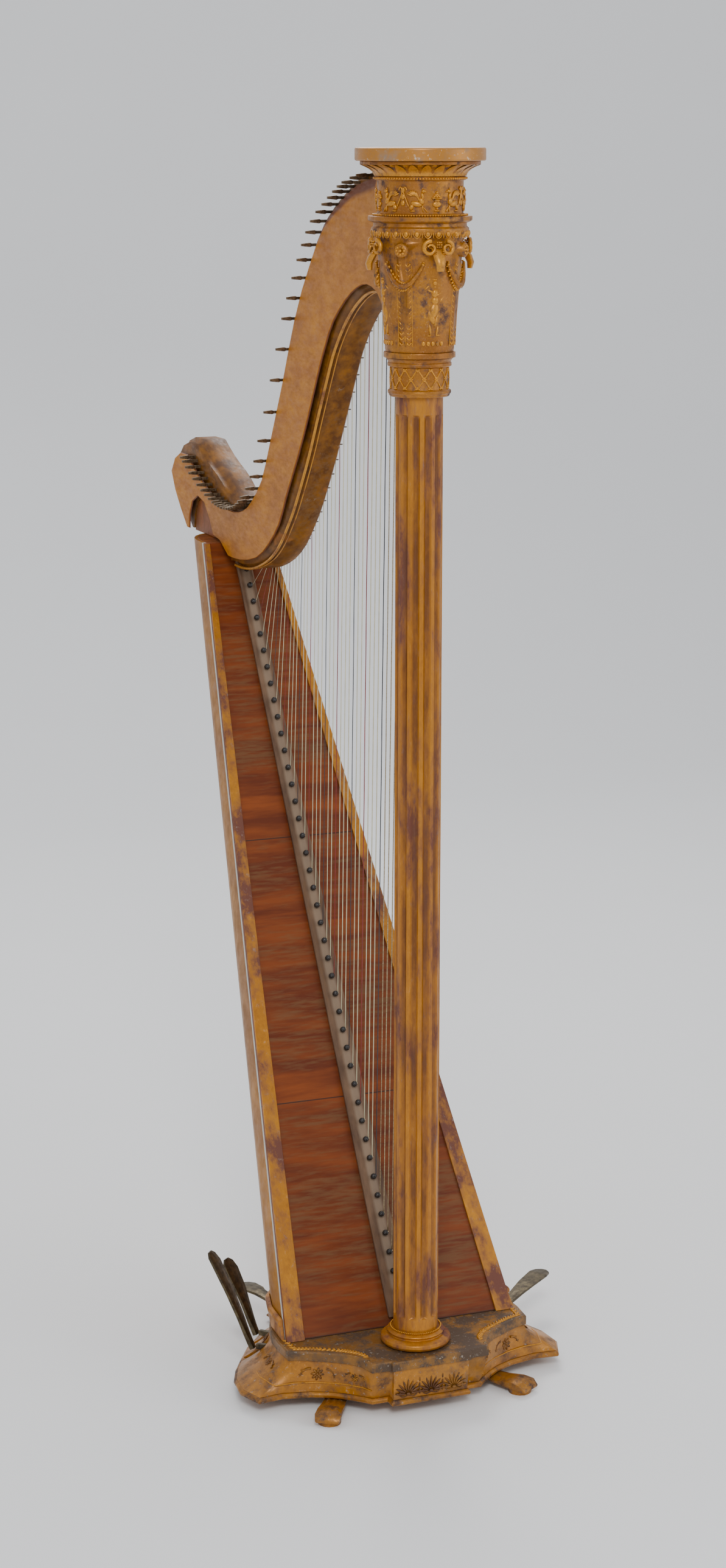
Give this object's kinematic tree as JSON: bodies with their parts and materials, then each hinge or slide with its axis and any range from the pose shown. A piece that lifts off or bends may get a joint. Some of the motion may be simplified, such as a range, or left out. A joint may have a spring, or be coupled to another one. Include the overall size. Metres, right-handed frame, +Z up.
{
  "type": "pedal harp",
  "caption": "Single-action pedal harp with fluted gilded column, ornate round capital, curved neck, strung round-backed soundbox and pedal box with folding foot pedals",
  "frame": {"origin": "on the floor at the middle of the object's bounding box", "axes": "+Z up; +Y from the column towards the player and the soundbox; -X the side of the neck where the tuning key goes on; +X the string side"},
  "size_m": [0.5432, 1.069, 1.7],
  "materials": {
    "gilt": "carved wood, worn water gilding over red bole",
    "maple": "varnished amber maple",
    "pine": "aged varnished soundboard pine",
    "raw_pine": "plain wood inside the soundbox",
    "brown_wood": "brown hardwood",
    "iron": "dull iron with worn gilding"
  },
  "bodies": {
    "harp": {"base_board": "gilt", "base_deck": "gilt", "capital_bell": "gilt", "capital_collar": "gilt", "capital_cornice": "gilt", "capital_cove": "gilt", "capital_foot": "gilt", "capital_frieze": "gilt", "cheek_board": "maple", "column_base": "gilt", "column_shaft": "gilt", "crown_disc": "gilt", "edge_strip_left": "gilt", "edge_strip_right": "gilt", "foot_back_left": "gilt", "foot_back_right": "gilt", "foot_front_left": "gilt", "foot_front_right": "gilt", "neck_core": "maple", "pedal_box": "maple", "pedal_bracket_left_1": "iron", "pedal_bracket_left_2": "iron", "pedal_bracket_left_3": "iron", "pedal_bracket_right_1": "iron", "pedal_bracket_right_2": "iron", "pedal_bracket_right_3": "iron", "pedal_bracket_right_4": "iron", "ram_head_front": "gilt", "ram_head_left": "gilt", "ram_head_right": "gilt", "shell_foot_band": "gilt", "shoulder_block": "maple", "soundboard": "pine", "soundbox_foot_block": "raw_pine", "soundbox_shell": "maple", "soundbox_top_block": "raw_pine", "string_rib": "brown_wood"},
    "arm_left_1": {"pedal_arm_left_1": "iron"},
    "foot_left_1": {"pedal_foot_left_1": "iron"},
    "rod_left_1": {"pedal_rod_left_1": "iron"},
    "arm_left_2": {"pedal_arm_left_2": "iron"},
    "foot_left_2": {"pedal_foot_left_2": "iron"},
    "rod_left_2": {"pedal_rod_left_2": "iron"},
    "arm_left_3": {"pedal_arm_left_3": "iron"},
    "foot_left_3": {"pedal_foot_left_3": "iron"},
    "rod_left_3": {"pedal_rod_left_3": "iron"},
    "arm_right_1": {"pedal_arm_right_1": "iron"},
    "foot_right_1": {"pedal_foot_right_1": "iron"},
    "rod_right_1": {"pedal_rod_right_1": "iron"},
    "arm_right_2": {"pedal_arm_right_2": "iron"},
    "foot_right_2": {"pedal_foot_right_2": "iron"},
    "rod_right_2": {"pedal_rod_right_2": "iron"},
    "arm_right_3": {"pedal_arm_right_3": "iron"},
    "foot_right_3": {"pedal_foot_right_3": "iron"},
    "rod_right_3": {"pedal_rod_right_3": "iron"},
    "arm_right_4": {"pedal_arm_right_4": "iron"},
    "foot_right_4": {"pedal_foot_right_4": "iron"},
    "rod_right_4": {"pedal_rod_right_4": "iron"}
  },
  "joints": [
    {"name": "press_left_1", "type": "hinge", "parent": "harp", "child": "arm_left_1", "pos_m": [-0.08761, -0.40465, 0.048], "axis": [-0.5878, -0.809, 0], "range_deg": [0, 4.5], "stiffness_Nm_per_rad": 6, "springref_deg": -6.88},
    {"name": "fold_left_1", "type": "hinge", "parent": "arm_left_1", "child": "foot_left_1", "pos_m": [-0.21705, -0.31061, 0.048], "axis": [0.5878, 0.809, 0], "range_deg": [-66, 18]},
    {"name": "lift_left_1", "type": "slide", "parent": "harp", "child": "rod_left_1", "axis": [0, 0, 1], "range_m": [0, 0.0055]},
    {"name": "press_left_2", "type": "hinge", "parent": "harp", "child": "arm_left_2", "pos_m": [-0.0777, -0.39345, 0.048], "axis": [-0.7314, -0.682, 0], "range_deg": [0, 4.5], "stiffness_Nm_per_rad": 6, "springref_deg": -6.88},
    {"name": "fold_left_2", "type": "hinge", "parent": "arm_left_2", "child": "foot_left_2", "pos_m": [-0.19637, -0.2662, 0.048], "axis": [0.7314, 0.682, 0], "range_deg": [-66, 18]},
    {"name": "lift_left_2", "type": "slide", "parent": "harp", "child": "rod_left_2", "axis": [0, 0, 1], "range_m": [0, 0.00536]},
    {"name": "press_left_3", "type": "hinge", "parent": "harp", "child": "arm_left_3", "pos_m": [-0.05373, -0.37818, 0.048], "axis": [-0.9272, -0.3746, 0], "range_deg": [0, 4.5], "stiffness_Nm_per_rad": 6, "springref_deg": -6.88},
    {"name": "fold_left_3", "type": "hinge", "parent": "arm_left_3", "child": "foot_left_3", "pos_m": [-0.1309, -0.18718, 0.048], "axis": [0.9272, 0.3746, 0], "range_deg": [-4, 80]},
    {"name": "lift_left_3", "type": "slide", "parent": "harp", "child": "rod_left_3", "axis": [0, 0, 1], "range_m": [0, 0.00533]},
    {"name": "press_right_1", "type": "hinge", "parent": "harp", "child": "arm_right_1", "pos_m": [-0.015, -0.37308, 0.048], "axis": [-0.9925, 0.1219, 0], "range_deg": [0, 4.5], "stiffness_Nm_per_rad": 6, "springref_deg": -6.88},
    {"name": "fold_right_1", "type": "hinge", "parent": "arm_right_1", "child": "foot_right_1", "pos_m": [0.01108, -0.16068, 0.048], "axis": [0.9925, -0.1219, 0], "range_deg": [-4, 80]},
    {"name": "lift_right_1", "type": "slide", "parent": "harp", "child": "rod_right_1", "axis": [0, 0, 1], "range_m": [0, 0.00533]},
    {"name": "press_right_2", "type": "hinge", "parent": "harp", "child": "arm_right_2", "pos_m": [0.00597, -0.3787, 0.048], "axis": [-0.9205, 0.3907, 0], "range_deg": [0, 4.5], "stiffness_Nm_per_rad": 6, "springref_deg": -6.88},
    {"name": "fold_right_2", "type": "hinge", "parent": "arm_right_2", "child": "foot_right_2", "pos_m": [0.08646, -0.18908, 0.048], "axis": [0.9205, -0.3907, 0], "range_deg": [-4, 80]},
    {"name": "lift_right_2", "type": "slide", "parent": "harp", "child": "rod_right_2", "axis": [0, 0, 1], "range_m": [0, 0.00533]},
    {"name": "press_right_3", "type": "hinge", "parent": "harp", "child": "arm_right_3", "pos_m": [0.02458, -0.38988, 0.048], "axis": [-0.7771, 0.6293, 0], "range_deg": [0, 4.5], "stiffness_Nm_per_rad": 6, "springref_deg": -6.88},
    {"name": "fold_right_3", "type": "hinge", "parent": "arm_right_3", "child": "foot_right_3", "pos_m": [0.14037, -0.24689, 0.048], "axis": [0.7771, -0.6293, 0], "range_deg": [-4, 80]},
    {"name": "lift_right_3", "type": "slide", "parent": "harp", "child": "rod_right_3", "axis": [0, 0, 1], "range_m": [0, 0.00538]},
    {"name": "press_right_4", "type": "hinge", "parent": "harp", "child": "arm_right_4", "pos_m": [0.0386, -0.40465, 0.048], "axis": [-0.5878, 0.809, 0], "range_deg": [0, 4.5], "stiffness_Nm_per_rad": 6, "springref_deg": -6.88},
    {"name": "fold_right_4", "type": "hinge", "parent": "arm_right_4", "child": "foot_right_4", "pos_m": [0.16804, -0.31061, 0.048], "axis": [0.5878, -0.809, 0], "range_deg": [-7, 77]},
    {"name": "lift_right_4", "type": "slide", "parent": "harp", "child": "rod_right_4", "axis": [0, 0, 1], "range_m": [0, 0.0055]}
  ],
  "couplings": [
    {"joint": "lift_left_1", "follows": "press_left_1", "m_per_rad": 0.068696},
    {"joint": "lift_left_2", "follows": "press_left_2", "m_per_rad": 0.067002},
    {"joint": "lift_left_3", "follows": "press_left_3", "m_per_rad": 0.066612},
    {"joint": "lift_right_1", "follows": "press_right_1", "m_per_rad": 0.066586},
    {"joint": "lift_right_2", "follows": "press_right_2", "m_per_rad": 0.066586},
    {"joint": "lift_right_3", "follows": "press_right_3", "m_per_rad": 0.067264},
    {"joint": "lift_right_4", "follows": "press_right_4", "m_per_rad": 0.068696}
  ]
}
